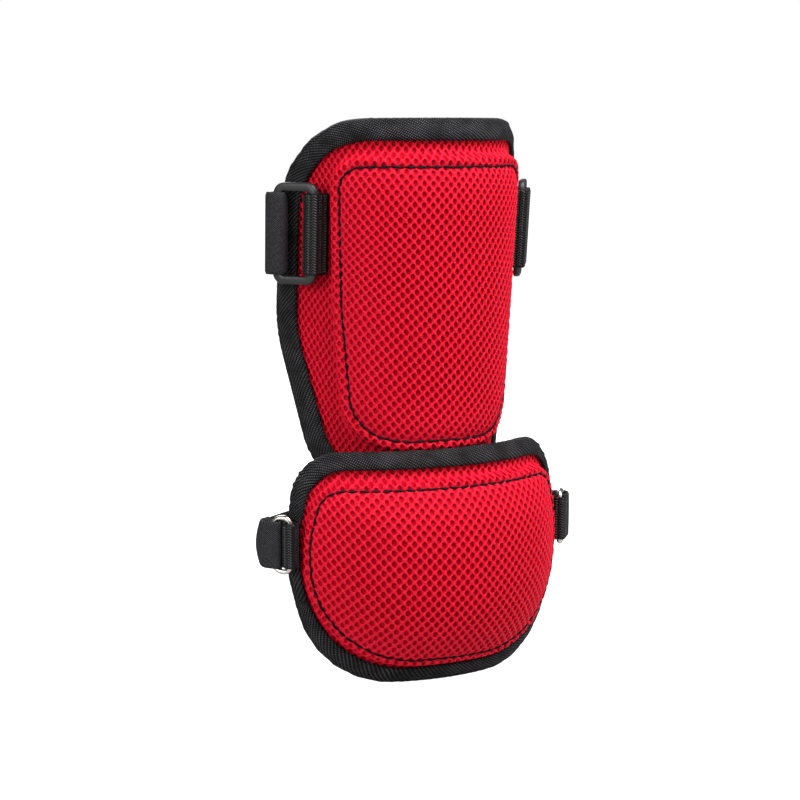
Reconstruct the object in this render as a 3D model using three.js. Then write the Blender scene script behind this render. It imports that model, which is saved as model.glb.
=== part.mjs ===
// Elbow guard for bat-and-ball sport: a long arm pad and, lapping over its lower end, a domed elbow pad.
// Each pad is foam under a red air-mesh cover, with black tape bound round its edge. An elastic strap
// closes each pad round the arm: the upper one on plastic loops, the lower one on steel D-rings.
// Millimetres, +Z up the arm. The Z axis is the arm's centre line and the guard's front faces -Y.
// Z = 0 is the lap of the two pads, where the elbow bends.
import * as THREE from 'three';

// Driving dimensions
const GAP = 0.3; // between pieces that are sewn or threaded together
const MESH_CLOTH = 1.7;
const TAPE = 1.2;
const WEBBING = 1.4;
const ELASTIC = 1.3;
const PLY_SPACING = ELASTIC + GAP; // centre to centre of two layers of elastic

// The inner face of a pad is bent round the arm to `flare` and runs on straight past it. `axis` is the
// Y of the bend's centre. The arm pad narrows downwards by `taper`, and the elbow pad is also bent
// downwards, like a barrel, about its `crown`.
const ARM = { bend: 45, flare: THREE.MathUtils.degToRad(57), axis: -8, top: 137.5, taper: 0.055, crown: 0, barrel: 1e6 };
const ELBOW = { bend: 80, flare: THREE.MathUtils.degToRad(60), axis: 20.7, top: -3.5, taper: 0, crown: -45, barrel: 200 };

// Flat pattern lines: the corners of the right half from the top down, u round the arm, w along it and
// r the corner's radius. The left half mirrors them.
ARM.lines = {
  edge: [{ u: 71, w: 137.5, r: 40 }, { u: 73.6, w: 48, r: 70 }, { u: 51.5, w: -22, r: 34 }],
  tape: [{ u: 61, w: 129.6, r: 33 }, { u: 62.3, w: 48, r: 60 }, { u: 42, w: -12, r: 25 }],
  stitch: [{ u: 40.4, w: 118.5, r: 9 }, { u: 38, w: 60, r: 90 }, { u: 32, w: 1.6, r: 20 }],
};
ELBOW.lines = {
  edge: [{ u: 64.5, w: -3.5, r: 23 }, { u: 71, w: -50, r: 60 }, { u: 53.5, w: -102.5, r: 46 }],
  tape: [{ u: 57.5, w: -9.6, r: 19 }, { u: 66.4, w: -50, r: 54 }, { u: 46.8, w: -95.3, r: 46 }],
  stitch: [{ u: 52.5, w: -18.4, r: 11 }, { u: 61.8, w: -50, r: 50 }, { u: 42, w: -90.4, r: 46 }],
};

// Rings of the padded face from its middle to its edge: a pattern line, grown outwards or scaled towards
// the pattern's middle, and the height of the cover above the pad's inner face.
ARM.face = [
  { line: 'stitch', grow: 0, scale: 0.3, lift: 13.0 },
  { line: 'stitch', grow: 0, scale: 0.62, lift: 12.7 },
  { line: 'stitch', grow: 0, scale: 0.88, lift: 12.0 },
  { line: 'stitch', grow: 0, scale: 1, lift: 10.6 },
  { line: 'stitch', grow: 3, scale: 1, lift: 11.2 },
  { line: 'stitch', grow: 6, scale: 1, lift: 6.3 },
  { line: 'tape', grow: 0, scale: 1, lift: 6.0 },
  { line: 'edge', grow: 0, scale: 1, lift: 4.6 },
];
ELBOW.face = [
  { line: 'stitch', grow: 0, scale: 0.3, lift: 17.2 },
  { line: 'stitch', grow: 0, scale: 0.62, lift: 15.8 },
  { line: 'stitch', grow: 0, scale: 0.88, lift: 12.8 },
  { line: 'stitch', grow: 0, scale: 1, lift: 10.4 },
  { line: 'stitch', grow: 2, scale: 1, lift: 10.8 },
  { line: 'stitch', grow: 4.2, scale: 1, lift: 6.4 },
  { line: 'tape', grow: 0, scale: 1, lift: 6.0 },
  { line: 'edge', grow: 0, scale: 1, lift: 4.6 },
];
const LINING_RINGS = [1, 3, 6, 7]; // rows of the face that the plain inner side repeats

// Straps: `level` is the height of the middle of the strap. Along the pad's margin, `seam` is where the
// webbing tab is sewn on, `bar` the middle of the bar in its fold and `far` the middle of the side that
// the elastic is turned round, `lift` the height of the loop or ring above the pad's inner face. The
// strap turns behind the pad at `turnFrom`, at the height `turnLift` and with the radius `turn`. From there
// it hangs, falling by `fall` for each millimetre that it runs back.
const UPPER = { level: 90, width: 35.4, seam: 46.4, bar: 50.8, far: 68, lift: 12.4, backY: 38 };
const LOWER = { level: -41, width: 20.4, seam: 62.8, bar: 65.8, far: 73.6, lift: 11.1, backY: 31 };
Object.assign(UPPER, { turnFrom: 71.2, turnLift: 9.5, turn: 6, fall: 0.08 });
Object.assign(LOWER, { turnFrom: 76, turnLift: 8.6, turn: 4, fall: 0.14 });
UPPER.freeEnds = { left: 24, right: 62 }; // length of elastic folded back on itself
LOWER.freeEnds = { left: 20, right: 48 };
UPPER.tabWidth = 34.8;
LOWER.tabWidth = 19.6;
UPPER.seat = ARM.face.at(-3).lift; // the upper tab is sewn on the cover, the lower one on the binding
LOWER.seat = ELBOW.face.at(-2).lift + GAP + TAPE;
const STRAP_INWARD = THREE.MathUtils.degToRad(44); // how far a strap turns inwards past the pad's edge

const LOOP = { bar: { width: 4.8, thickness: 3.2 }, endBar: 3.8, outerRadius: 4.5, innerRadius: 1.4, bevel: 0.6 };
const RING = { wire: 2.4, bow: 2, barCorner: 3, bowCorner: 4.5, edgeDraw: 1.5 };
RING.bar = { width: RING.wire, thickness: RING.wire };

// Colours of the real materials
const MATERIALS = {
  air_mesh: new THREE.MeshStandardMaterial({ color: 0xd8142f, roughness: 0.85, metalness: 0 }),
  lined_foam: new THREE.MeshStandardMaterial({ color: 0x1c1b1d, roughness: 0.95, metalness: 0 }),
  binding_tape: new THREE.MeshStandardMaterial({ color: 0x262527, roughness: 0.8, metalness: 0 }),
  webbing: new THREE.MeshStandardMaterial({ color: 0x222123, roughness: 0.7, metalness: 0 }),
  elastic: new THREE.MeshStandardMaterial({ color: 0x2a292b, roughness: 0.85, metalness: 0 }),
  loop_plastic: new THREE.MeshStandardMaterial({ color: 0x343436, roughness: 0.45, metalness: 0 }),
  nickel_steel: new THREE.MeshStandardMaterial({ color: 0xc9c8c4, roughness: 0.2, metalness: 1 }),
};

const guard = new THREE.Group();

function addPiece(name, geometry, material) {
  const mesh = new THREE.Mesh(geometry, MATERIALS[material]);
  mesh.name = name;
  guard.add(mesh);
}

// A closed surface through rings of equally many points. With `around` the last ring joins the first,
// with `ends` the two end rings are filled by a fan to those points, and otherwise by flat caps. Each
// patch is split along its shorter diagonal, so two surfaces that lie on each other fold alike.
function solid(rings, { around = false, ends = null, caps = [] } = {}) {
  const count = rings[0].length;
  const points = rings.flat();
  const index = [];
  const bands = around ? rings.length : rings.length - 1;
  for (let k = 0; k < bands; k += 1) {
    const low = k * count;
    const high = ((k + 1) % rings.length) * count;
    for (let i = 0; i < count; i += 1) {
      const [a, b, c, d] = [low + i, low + ((i + 1) % count), high + ((i + 1) % count), high + i];
      const shorter = points[a].distanceTo(points[c]) < points[b].distanceTo(points[d]);
      index.push(...(shorter ? [a, b, c, a, c, d] : [a, b, d, b, c, d]));
    }
  }
  const last = (rings.length - 1) * count;
  if (ends) {
    points.push(...ends);
    const tip = rings.length * count;
    for (let i = 0; i < count; i += 1) {
      const j = (i + 1) % count;
      index.push(tip, j, i, tip + 1, last + i, last + j);
    }
  }
  caps.forEach(([a, b, c]) => index.push(c, b, a, last + a, last + b, last + c));
  const geometry = new THREE.BufferGeometry().setFromPoints(points);
  geometry.setIndex(index);
  return facingOut(geometry);
}

// The same surface with its triangles turned outwards, whichever way its rings ran
function facingOut(geometry) {
  const index = geometry.index.array;
  const [a, b, c] = [new THREE.Vector3(), new THREE.Vector3(), new THREE.Vector3()];
  const position = geometry.attributes.position;
  let volume = 0;
  for (let i = 0; i < index.length; i += 3) {
    a.fromBufferAttribute(position, index[i]);
    b.fromBufferAttribute(position, index[i + 1]);
    c.fromBufferAttribute(position, index[i + 2]);
    volume += a.dot(b.cross(c));
  }
  if (volume < 0) {
    for (let i = 0; i < index.length; i += 3) [index[i], index[i + 1]] = [index[i + 1], index[i]];
  }
  geometry.computeVertexNormals();
  return geometry;
}

function mirrored(geometry) {
  return facingOut(geometry.clone().scale(-1, 1, 1));
}

// Point of a pad: u round the arm, w along it, lift outwards from the inner face
function place(pad, { u, w }, lift) {
  const bend = pad.bend - pad.taper * (pad.top - w);
  const turn = THREE.MathUtils.clamp(u / bend, -pad.flare, pad.flare);
  const straight = u - turn * bend;
  const dip = (pad.crown - w) / pad.barrel;
  const [sin, cos] = [Math.sin(turn), Math.cos(turn)];
  const normal = new THREE.Vector3(sin * Math.cos(dip), -cos * Math.cos(dip), -cos * Math.sin(dip));
  return new THREE.Vector3(
    bend * sin + straight * cos,
    pad.axis - bend * cos + straight * sin + pad.barrel * (1 - Math.cos(dip)),
    pad.crown - pad.barrel * Math.sin(dip),
  ).addScaledVector(normal.normalize(), lift);
}

// Pattern line as a closed list of points: an arc at each corner and a straight run between corners.
// The long runs across the top and the bottom have more points, because they bend round the arm.
const ARC_STEPS = 4;
const RUN_STEPS = { side: 3, across: 8 };

function patternLine(rows) {
  const corners = [...rows, ...rows.map(({ u, w, r }) => ({ u: -u, w, r })).reverse()];
  const arcs = corners.map(({ u, w, r }, i) => {
    const corner = new THREE.Vector2(u, w);
    const [before, after] = [corners.at(i - 1), corners[(i + 1) % corners.length]].map((c) =>
      new THREE.Vector2(c.u, c.w).sub(corner).normalize());
    const half = Math.acos(before.dot(after)) / 2;
    const centre = corner.clone().addScaledVector(before.clone().add(after).normalize(), r / Math.sin(half));
    const start = corner.clone().addScaledVector(before, r / Math.tan(half)).sub(centre);
    const sweep = -Math.sign(before.cross(after)) * (Math.PI - 2 * half);
    return Array.from({ length: ARC_STEPS + 1 }, (_, k) =>
      start.clone().rotateAround(new THREE.Vector2(), (sweep * k) / ARC_STEPS).add(centre));
  });
  return arcs.flatMap((arc, i) => {
    const next = arcs[(i + 1) % arcs.length][0];
    const across = i === rows.length - 1 || i === arcs.length - 1;
    const steps = across ? RUN_STEPS.across : RUN_STEPS.side;
    const run = Array.from({ length: steps - 1 }, (_, k) => arc.at(-1).clone().lerp(next, (k + 1) / steps));
    return [...arc, ...run];
  }).map((p) => ({ u: p.x, w: p.y }));
}

// One ring of a pad's pattern, from a row of its face table
function patternRing(pad, { line, grow, scale }) {
  const rows = pad.lines[line].map(({ u, w, r }, i, all) => {
    const upward = 1 - (2 * i) / (all.length - 1);
    return { u: u + grow, w: w + upward * grow, r: r + grow };
  });
  const middle = patternMiddle(pad);
  return patternLine(rows).map(({ u, w }) => ({ u: u * scale, w: middle.w + (w - middle.w) * scale }));
}

function patternMiddle(pad) {
  const rows = pad.lines.stitch;
  return { u: 0, w: (rows[0].w + rows.at(-1).w) / 2 };
}

const DOME_EXTRA = 0.2; // height of the face's middle point over its innermost ring

function faceRings(pad, lower) {
  return pad.face.map((row) => patternRing(pad, row).map((p) => place(pad, p, row.lift - lower)));
}

function faceMiddle(pad, lower) {
  return place(pad, patternMiddle(pad), pad.face[0].lift + DOME_EXTRA - lower);
}

// Cover: one sheet of air mesh, drawn over the raised foam and sewn down round it
function meshCover(pad) {
  const rings = [...faceRings(pad, 0), ...faceRings(pad, MESH_CLOTH).reverse()];
  return solid(rings, { ends: [faceMiddle(pad, 0), faceMiddle(pad, MESH_CLOTH)] });
}

// Foam under the cover, with its plain lined face against the arm
function linedFoam(pad) {
  const under = MESH_CLOTH + GAP;
  const lining = LINING_RINGS.map((k) => patternRing(pad, pad.face[k]).map((p) => place(pad, p, 0)));
  const rings = [...lining, ...faceRings(pad, under).reverse()];
  return solid(rings, { ends: [place(pad, patternMiddle(pad), 0), faceMiddle(pad, under)] });
}

// Binding: tape folded over the edge. Rows go round its section, along the inside from the front lip to
// the back lip and then outside from the back lip over the edge to the front: share of the way from the
// edge to the lip's line, millimetres outwards of the edge, and height above the inner face of the pad.
function bindingTape(pad) {
  const lipLift = pad.face.at(-2).lift;
  const edgeLift = pad.face.at(-1).lift;
  const outside = GAP + TAPE;
  const section = [
    { toLip: 1, out: 0, lift: lipLift + GAP },
    { toLip: 0, out: GAP, lift: edgeLift + GAP },
    { toLip: 0, out: GAP, lift: -GAP },
    { toLip: 1, out: 0, lift: -GAP },
    { toLip: 1, out: 0, lift: -outside },
    { toLip: 0.15, out: 0, lift: -outside },
    { toLip: 0, out: 0.8 * outside, lift: -GAP },
    { toLip: 0, out: outside, lift: edgeLift / 2 },
    { toLip: 0, out: 0.8 * outside, lift: edgeLift + GAP },
    { toLip: 0.15, out: 0, lift: edgeLift + outside },
    { toLip: 1, out: 0, lift: lipLift + outside },
  ];
  const edge = patternLine(pad.lines.edge);
  const lip = patternLine(pad.lines.tape);
  const rings = section.map(({ toLip, out, lift }) => edge.map(({ u, w }, i) => {
    const inward = new THREE.Vector2(lip[i].u - u, lip[i].w - w);
    const shift = inward.multiplyScalar(toLip - out / inward.length());
    return place(pad, { u: u + shift.x, w: w + shift.y }, lift);
  }));
  return solid(rings, { around: true });
}

for (const [name, pad] of [['arm', ARM], ['elbow', ELBOW]]) {
  addPiece(`${name}_pad`, linedFoam(pad), 'lined_foam');
  addPiece(`${name}_cover`, meshCover(pad), 'air_mesh');
  addPiece(`${name}_binding`, bindingTape(pad), 'binding_tape');
}

// Plan view of a point on a pad's right margin at a strap's level
function planPoint(pad, strap, u, lift) {
  const { x, y } = place(pad, { u, w: strap.level }, lift);
  return new THREE.Vector2(x, y);
}

// Points on a half circle round the fold of a band over a bar, from its upper layer to its lower layer.
// `side` is 1 where the fold bulges outwards along the margin and -1 where it bulges inwards.
const FOLD_STEPS = 6;

function foldRadius(bar, thickness) {
  return bar.thickness / 2 + 2 * GAP + thickness / 2;
}

function foldPoints(pad, strap, u, bar, thickness, side) {
  const radius = foldRadius(bar, thickness);
  const middle = u + (side * (bar.width - bar.thickness)) / 2;
  return Array.from({ length: FOLD_STEPS + 1 }, (_, k) => {
    const angle = (Math.PI * k) / FOLD_STEPS;
    return planPoint(pad, strap, middle + side * radius * Math.sin(angle), strap.lift + radius * Math.cos(angle));
  });
}

// Closed outline of a band with this centre line
function bandOutline(line, thickness) {
  const sides = [[], []];
  line.forEach((p, i) => {
    const behind = line[Math.max(i - 1, 0)];
    const ahead = line[Math.min(i + 1, line.length - 1)];
    const across = new THREE.Vector2(behind.y - ahead.y, ahead.x - behind.x).setLength(thickness / 2);
    sides[0].push(p.clone().add(across));
    sides[1].unshift(p.clone().sub(across));
  });
  const outline = sides.flat();
  return THREE.ShapeUtils.isClockWise(outline) ? outline.reverse() : outline;
}

// A band standing on edge, through its outline at each level
function standingBand(levels) {
  const rings = levels.map(({ z, outline }) => outline.map((p) => new THREE.Vector3(p.x, p.y, z)));
  return solid(rings, { caps: THREE.ShapeUtils.triangulateShape(levels[0].outline, []) });
}

// The arm pad is a cone: with each millimetre that its bend grows upwards, the straight margin moves this
// much sideways and forwards, and so does what lies on it.
function followTaper(geometry, pad, strap) {
  const [sin, cos] = [Math.sin(pad.flare), Math.cos(pad.flare)];
  const sideways = (sin - pad.flare * cos) / planPoint(pad, strap, strap.far, strap.lift).x;
  const forwards = cos + pad.flare * sin;
  const position = geometry.attributes.position;
  for (let i = 0; i < position.count; i += 1) {
    const growth = pad.taper * (position.getZ(i) - strap.level);
    position.setX(i, position.getX(i) * (1 + growth * sideways));
    position.setY(i, position.getY(i) - growth * forwards);
  }
  return geometry;
}

// Webbing tab: a strip folded round the bar and sewn to the margin with its two ends together
const SEWN = 0.8; // length of the ends that lies flat

function webbingTab(pad, strap, bar) {
  const seatLift = strap.seat + GAP + WEBBING / 2;
  const beside = strap.bar - bar.width / 2 - GAP - WEBBING / 2;
  const under = planPoint(pad, strap, strap.bar, strap.lift - foldRadius(bar, WEBBING));
  const over = planPoint(pad, strap, beside, strap.lift + foldRadius(bar, WEBBING));
  const bottom = [0, SEWN].map((along) => planPoint(pad, strap, strap.seam + along, seatLift));
  const top = [SEWN, 0].map((along) => planPoint(pad, strap, strap.seam + along, seatLift + WEBBING + GAP));
  const fold = foldPoints(pad, strap, strap.bar, bar, WEBBING, 1).reverse();
  const outline = bandOutline([...bottom, under, ...fold, over, ...top], WEBBING);
  const half = strap.tabWidth / 2;
  const levels = [-half, half].map((z) => ({ z: strap.level + z, outline }));
  return followTaper(standingBand(levels), pad, strap);
}

// One half of a strap's centre line in plan, on the right: the end folded back on the outside, the fold
// round the far side of the loop or ring, then along the margin, round the pad's edge and to the middle
// of the back. `draw` moves the fold inwards.
function halfStrap(pad, strap, freeEnd, bar, draw) {
  const radius = foldRadius(bar, ELASTIC);
  const fold = foldPoints(pad, strap, strap.far - draw, bar, ELASTIC, -1);
  const foldU = strap.far - draw - (bar.width - bar.thickness) / 2;
  const turnStart = planPoint(pad, strap, strap.turnFrom, strap.turnLift);
  const along = planPoint(pad, strap, strap.turnFrom + 1, strap.turnLift).sub(turnStart).normalize();
  const centre = turnStart.clone().addScaledVector(new THREE.Vector2(-along.y, along.x), strap.turn);
  const sweep = Math.PI / 2 + STRAP_INWARD - along.angle();
  const turned = Array.from({ length: FOLD_STEPS + 1 }, (_, k) =>
    turnStart.clone().rotateAround(centre, (sweep * k) / FOLD_STEPS));
  const heading = along.clone().rotateAround(new THREE.Vector2(), sweep);
  const back = new THREE.CubicBezierCurve(
    turned.at(-1),
    turned.at(-1).clone().addScaledVector(heading, BACK_PULL.side),
    new THREE.Vector2(BACK_PULL.middle, strap.backY),
    new THREE.Vector2(0, strap.backY),
  ).getSpacedPoints(BACK_STEPS);
  const margin = Array.from({ length: MARGIN_STEPS }, (_, k) =>
    planPoint(
      pad,
      strap,
      THREE.MathUtils.lerp(foldU, strap.turnFrom, k / MARGIN_STEPS),
      THREE.MathUtils.lerp(strap.lift - radius, strap.turnLift, k / MARGIN_STEPS),
    ));
  const main = [...margin, ...turned, ...back.slice(1)];
  return [...foldedEnd(main, freeEnd, 2 * radius), ...fold.slice(1, -1), ...main];
}

const MARGIN_STEPS = 3;
const BACK_PULL = { side: 24, middle: 36 }; // pull of the curve's ends on the strap's run round the back
const BACK_STEPS = 10;
const CLOSE_UP = { from: 3.6, to: 8 }; // stretch over which the folded end comes down on the strap

// The end of the elastic that lies outside the strap, from its cut end to the fold
function foldedEnd(main, length, spacingAtFold) {
  const outer = [];
  let run = 0;
  for (let i = 0; i < main.length - 1 && run < length; i += 1) {
    const ahead = main[i + 1].clone().sub(main[Math.max(i - 1, 0)]).normalize();
    const spacing = THREE.MathUtils.lerp(spacingAtFold, PLY_SPACING, THREE.MathUtils.smoothstep(run, CLOSE_UP.from, CLOSE_UP.to));
    outer.unshift(main[i].clone().add(new THREE.Vector2(ahead.y, -ahead.x).multiplyScalar(spacing)));
    run += main[i].distanceTo(main[i + 1]);
  }
  return outer;
}

function hangBack(geometry, pad, strap) {
  const turn = planPoint(pad, strap, strap.turnFrom, strap.turnLift);
  const position = geometry.attributes.position;
  for (let i = 0; i < position.count; i += 1) {
    const back = Math.max(0, position.getY(i) - turn.y);
    position.setZ(i, position.getZ(i) - strap.fall * back);
  }
  return geometry;
}

// A whole strap: both halves joined at the middle of the back. At its edges `bow` draws the fold inwards,
// as the round side of a D-ring does.
function elasticStrap(pad, strap, bar, bow) {
  const half = strap.width / 2;
  const shares = bow ? [-1, 0, 1] : [-1, 1];
  const levels = shares.map((share) => {
    const draw = bow * share * share;
    const left = halfStrap(pad, strap, strap.freeEnds.left, bar, draw).map((p) => new THREE.Vector2(-p.x, p.y));
    const right = halfStrap(pad, strap, strap.freeEnds.right, bar, draw);
    const line = [...left, ...right.slice(0, -1).reverse()];
    return { z: strap.level + share * half, outline: bandOutline(line, ELASTIC) };
  });
  return hangBack(followTaper(standingBand(levels), pad, strap), pad, strap);
}

// Lays a flat piece on a pad's margin: its x runs from the bar in the tab to the far side that holds the
// elastic, its y up the arm and its z outwards. `reach` is the distance of those two sides.
function marginSeat(pad, strap) {
  const [bar, far] = [strap.bar, strap.far].map((u) => place(pad, { u, w: strap.level }, strap.lift).setZ(strap.level));
  const along = far.clone().sub(bar).normalize();
  const up = new THREE.Vector3(0, 0, 1);
  const matrix = new THREE.Matrix4().makeBasis(along, up, along.clone().cross(up)).setPosition(bar);
  return { matrix, reach: bar.distanceTo(far) };
}

function roundedRectangle(path, width, height, radius) {
  const [x, y] = [width / 2, height / 2];
  path.moveTo(-x + radius, -y);
  path.absarc(x - radius, -y + radius, radius, -Math.PI / 2, 0);
  path.absarc(x - radius, y - radius, radius, 0, Math.PI / 2);
  path.absarc(-x + radius, y - radius, radius, Math.PI / 2, Math.PI);
  path.absarc(-x + radius, -y + radius, radius, Math.PI, 1.5 * Math.PI);
  return path;
}

// Plastic loop: a moulded rectangular frame with a slot for the tab and the elastic
function plasticLoop(pad, strap) {
  const { matrix, reach } = marginSeat(pad, strap);
  const width = reach + LOOP.bar.width;
  const slot = { width: width - 2 * LOOP.bar.width, height: strap.width + 2 * GAP };
  const height = slot.height + 2 * LOOP.endBar;
  const shape = roundedRectangle(new THREE.Shape(), width - 2 * LOOP.bevel, height - 2 * LOOP.bevel, LOOP.outerRadius);
  const hole = { width: slot.width + 2 * LOOP.bevel, height: slot.height + 2 * LOOP.bevel };
  shape.holes.push(roundedRectangle(new THREE.Path(), hole.width, hole.height, LOOP.innerRadius));
  const flat = new THREE.ExtrudeGeometry(shape, {
    depth: LOOP.bar.thickness - 2 * LOOP.bevel,
    bevelThickness: LOOP.bevel,
    bevelSize: LOOP.bevel,
    bevelSegments: 1,
    curveSegments: 3,
  });
  const geometry = flat.translate(reach / 2, 0, -LOOP.bar.thickness / 2 + LOOP.bevel).applyMatrix4(matrix);
  geometry.setIndex(Array.from({ length: geometry.attributes.position.count }, (_, i) => i));
  return facingOut(followTaper(geometry, pad, strap));
}

// D-ring: one closed turn of round wire with a straight bar for the tab and a bowed side for the elastic
const WIRE_SIDES = 8;
const BEND_STEPS = 4;
const SAME_POINT = 0.05; // points of the wire's path that lie closer than this are one

function wireRing(pad, strap) {
  const { matrix, reach } = marginSeat(pad, strap);
  const half = strap.width / 2 + RING.wire / 2 + GAP;
  const shape = new THREE.Shape();
  const { bow, barCorner, bowCorner } = RING;
  const shoulder = reach - bow / 2;
  shape.moveTo(0, -half + barCorner);
  shape.absarc(barCorner, half - barCorner, barCorner, Math.PI, Math.PI / 2, true);
  shape.quadraticCurveTo(shoulder, half, shoulder, half - bowCorner);
  shape.quadraticCurveTo(shoulder + bow, 0, shoulder, -half + bowCorner);
  shape.quadraticCurveTo(shoulder, -half, barCorner, -half);
  shape.absarc(barCorner, -half + barCorner, barCorner, 1.5 * Math.PI, Math.PI, true);
  const path = shape.getPoints(BEND_STEPS).filter((p, i, all) => p.distanceTo(all.at(i - 1)) > SAME_POINT);
  const rings = path.map((p, i) => {
    const ahead = path[(i + 1) % path.length].clone().sub(path.at(i - 1)).normalize();
    return Array.from({ length: WIRE_SIDES }, (_, k) => {
      const angle = (2 * Math.PI * k) / WIRE_SIDES;
      const sideways = (RING.wire / 2) * Math.cos(angle);
      return new THREE.Vector3(p.x - ahead.y * sideways, p.y + ahead.x * sideways, (RING.wire / 2) * Math.sin(angle));
    });
  });
  return facingOut(solid(rings, { around: true }).applyMatrix4(matrix));
}

const upperTab = webbingTab(ARM, UPPER, LOOP.bar);
const upperLoop = plasticLoop(ARM, UPPER);
addPiece('arm_tab_right', upperTab, 'webbing');
addPiece('arm_tab_left', mirrored(upperTab), 'webbing');
addPiece('arm_loop_right', upperLoop, 'loop_plastic');
addPiece('arm_loop_left', mirrored(upperLoop), 'loop_plastic');
addPiece('arm_strap', elasticStrap(ARM, UPPER, LOOP.bar, 0), 'elastic');

const lowerTab = webbingTab(ELBOW, LOWER, RING.bar);
const lowerRing = wireRing(ELBOW, LOWER);
addPiece('elbow_tab_right', lowerTab, 'webbing');
addPiece('elbow_tab_left', mirrored(lowerTab), 'webbing');
addPiece('elbow_ring_right', lowerRing, 'nickel_steel');
addPiece('elbow_ring_left', mirrored(lowerRing), 'nickel_steel');
addPiece('elbow_strap', elasticStrap(ELBOW, LOWER, RING.bar, RING.edgeDraw), 'elastic');

export default guard;
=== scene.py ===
import math

import bpy
import numpy as np
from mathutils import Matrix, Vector


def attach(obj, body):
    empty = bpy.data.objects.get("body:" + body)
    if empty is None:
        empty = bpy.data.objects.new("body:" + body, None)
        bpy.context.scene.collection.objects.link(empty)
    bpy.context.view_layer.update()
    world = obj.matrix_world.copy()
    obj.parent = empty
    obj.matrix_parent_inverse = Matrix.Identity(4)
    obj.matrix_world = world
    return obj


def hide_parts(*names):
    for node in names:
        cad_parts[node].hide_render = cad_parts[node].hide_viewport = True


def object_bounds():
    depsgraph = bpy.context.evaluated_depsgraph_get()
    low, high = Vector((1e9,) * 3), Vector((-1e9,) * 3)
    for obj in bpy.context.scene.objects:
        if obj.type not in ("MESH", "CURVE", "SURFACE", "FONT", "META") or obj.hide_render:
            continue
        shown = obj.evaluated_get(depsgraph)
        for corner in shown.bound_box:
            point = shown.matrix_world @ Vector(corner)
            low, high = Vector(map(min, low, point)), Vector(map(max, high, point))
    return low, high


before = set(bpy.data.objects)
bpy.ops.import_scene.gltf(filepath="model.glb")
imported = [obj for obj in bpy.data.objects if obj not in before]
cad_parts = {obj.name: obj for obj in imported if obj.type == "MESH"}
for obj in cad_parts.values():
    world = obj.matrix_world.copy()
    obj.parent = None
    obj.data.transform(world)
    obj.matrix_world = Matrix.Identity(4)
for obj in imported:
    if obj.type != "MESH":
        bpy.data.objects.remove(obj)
cad_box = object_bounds()


# Foam pads with their lining
# Two slabs of soft foam faced on the arm's side with black brushed tricot. The long one is bent round the
# arm, the short one is a cup for the elbow that laps over it. Both are cut flat, so a point on them is
# found from u round the arm, w along it and its height over the lining, all in millimetres.
MM = 0.001
GAP = 0.3  # left between pieces that lie on each other
MESH_CLOTH = 1.7  # thickness of the cover

# `bend` is the radius of the curve round the arm at the pad's `top`, `axis` its centre, `taper` how it
# narrows downwards, and `flare` the angle from which the sides run on straight. `barrel` is the radius of
# the curve along the arm, and `crown` the level where that curve stands furthest out.
ARM = {"bend": 45, "flare": math.radians(57), "axis": -8, "top": 137.5, "taper": 0.055,
       "crown": 0, "barrel": 1e6}
ELBOW = {"bend": 80, "flare": math.radians(60), "axis": 20.7, "top": -3.5, "taper": 0,
         "crown": -45, "barrel": 200}

# Pattern lines: u, w and corner radius, the right half from the top down
ARM["lines"] = {
    "edge": [(71, 137.5, 40), (73.6, 48, 70), (51.5, -22, 34)],
    "tape": [(61, 129.6, 33), (62.3, 48, 60), (42, -12, 25)],
    "stitch": [(40.4, 118.5, 9), (38, 60, 90), (32, 1.6, 20)],
}
ELBOW["lines"] = {
    "edge": [(64.5, -3.5, 23), (71, -50, 60), (53.5, -102.5, 46)],
    "tape": [(57.5, -9.6, 19), (66.4, -50, 54), (46.8, -95.3, 46)],
    "stitch": [(52.5, -18.4, 11), (61.8, -50, 50), (42, -90.4, 46)],
}

# Height of the cover inside its stitch line, by the share of the way from the middle out to that line,
# and outside it by the distance from the line: a puffed ridge, a crease and the flat margin
ARM["panel"] = [(0, 13.2), (0.3, 13.0), (0.62, 12.75), (0.85, 12.3), (0.95, 11.5), (1, 10.2)]
ARM["margin"] = [(0, 10.2), (1.4, 11.2), (2.8, 11.3), (4.3, 9.6), (5.6, 7.3), (7, 6.3), (9, 6.1), (40, 6.0)]
ELBOW["panel"] = [(0, 17.4), (0.3, 17.2), (0.62, 15.8), (0.88, 12.9), (0.96, 11.5), (1, 10.0)]
ELBOW["margin"] = [(0, 10.0), (1.1, 10.8), (2.1, 10.7), (3.2, 9.0), (4.3, 6.9), (5.4, 6.2), (7, 6.05),
                   (40, 6.0)]
TAPE_LIFT = 6.0  # height of the cover at the tape's lip
EDGE_LIFT = 4.6  # and at the raw edge


def unit(vector):
    return vector / np.linalg.norm(vector)


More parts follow.
